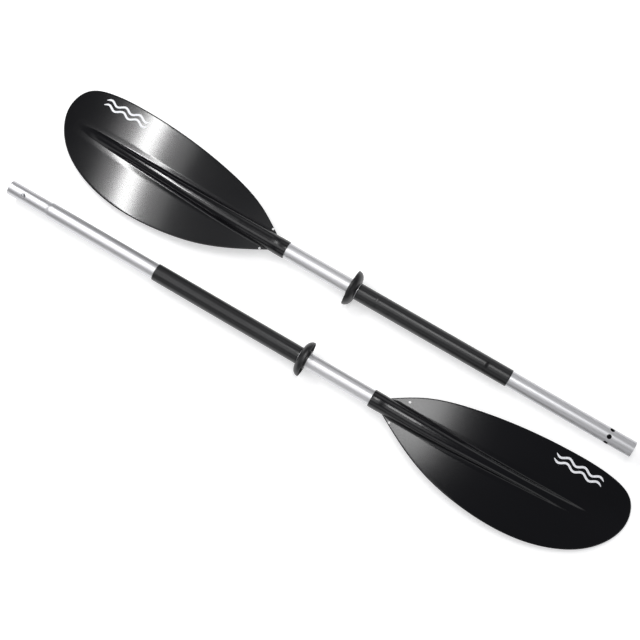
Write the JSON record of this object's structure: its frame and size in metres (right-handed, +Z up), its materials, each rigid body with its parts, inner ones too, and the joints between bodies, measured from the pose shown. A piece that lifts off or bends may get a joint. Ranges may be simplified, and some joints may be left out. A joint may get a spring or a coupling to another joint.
{
  "type": "kayak paddle",
  "caption": "Take-apart double-bladed kayak paddle, its halves laid side by side: aluminium tubes, black blades with a central rib, grip sleeves, drip rings and a snap button joint.",
  "frame": {"origin": "on the floor, under the middle of the pair of halves as they lie apart side by side", "axes": "+X along both shafts, toward half B's blade and half A's open socket end; +Y toward half A; +Z up from the floor, out of the blades' ribbed backs"},
  "size_m": [1.2088, 0.3306, 0.065],
  "materials": {
    "tube_aluminium": "satin, fine lines along the tube",
    "blade_plastic": "gloss black moulded plastic",
    "grip_sleeve": "glossy black shrink sleeve",
    "ring_rubber": "smooth black rubber",
    "button_metal": "polished",
    "spring_steel": "plain",
    "rivet_aluminium": "plain",
    "index_plastic": "plain",
    "plug_foam": "closed-cell foam"
  },
  "bodies": {
    "half_a": {"shaft_a": "tube_aluminium", "blade_a": "blade_plastic", "blade_rivet_a": "rivet_aluminium", "grip_a": "grip_sleeve", "grip_index_strip": "index_plastic", "neck_plug_a": "plug_foam"},
    "ring_a": {"drip_ring_a": "ring_rubber"},
    "plug_a": {"shaft_plug_a": "plug_foam"},
    "plug_b": {"shaft_plug_b": "plug_foam"},
    "half_b": {"shaft_b": "tube_aluminium", "blade_b": "blade_plastic", "blade_rivet_b": "rivet_aluminium", "grip_b": "grip_sleeve", "neck_plug_b": "plug_foam", "button_spring": "spring_steel"},
    "ring_b": {"drip_ring_b": "ring_rubber"},
    "button": {"snap_button": "button_metal"}
  },
  "joints": [
    {"name": "insert", "type": "slide", "parent": "half_a", "child": "plug_a", "axis": [-1, 0, 0], "range_m": [0, 0.42]},
    {"name": "carry", "type": "slide", "parent": "plug_a", "child": "plug_b", "axis": [0.9951, 0.0984, 0], "range_m": [0, 1.5033]},
    {"name": "feather", "type": "hinge", "parent": "plug_b", "child": "half_b", "pos_m": [-0.602, -0.08025, 0.0325], "axis": [1, 0, 0], "range_deg": [-60, 60]},
    {"name": "press", "type": "slide", "parent": "half_b", "child": "button", "axis": [0, 0.2756, -0.9613], "range_m": [0, 0.0046], "stiffness_N_per_m": 1500, "springref_m": -0.0005, "deforming": ["button_spring"]},
    {"name": "ring_a_slide", "type": "slide", "parent": "half_a", "child": "ring_a", "axis": [-1, 0, 0], "range_m": [0, 0.118]},
    {"name": "ring_b_slide", "type": "slide", "parent": "half_b", "child": "ring_b", "axis": [1, 0, 0], "range_m": [0, 0.118]}
  ]
}
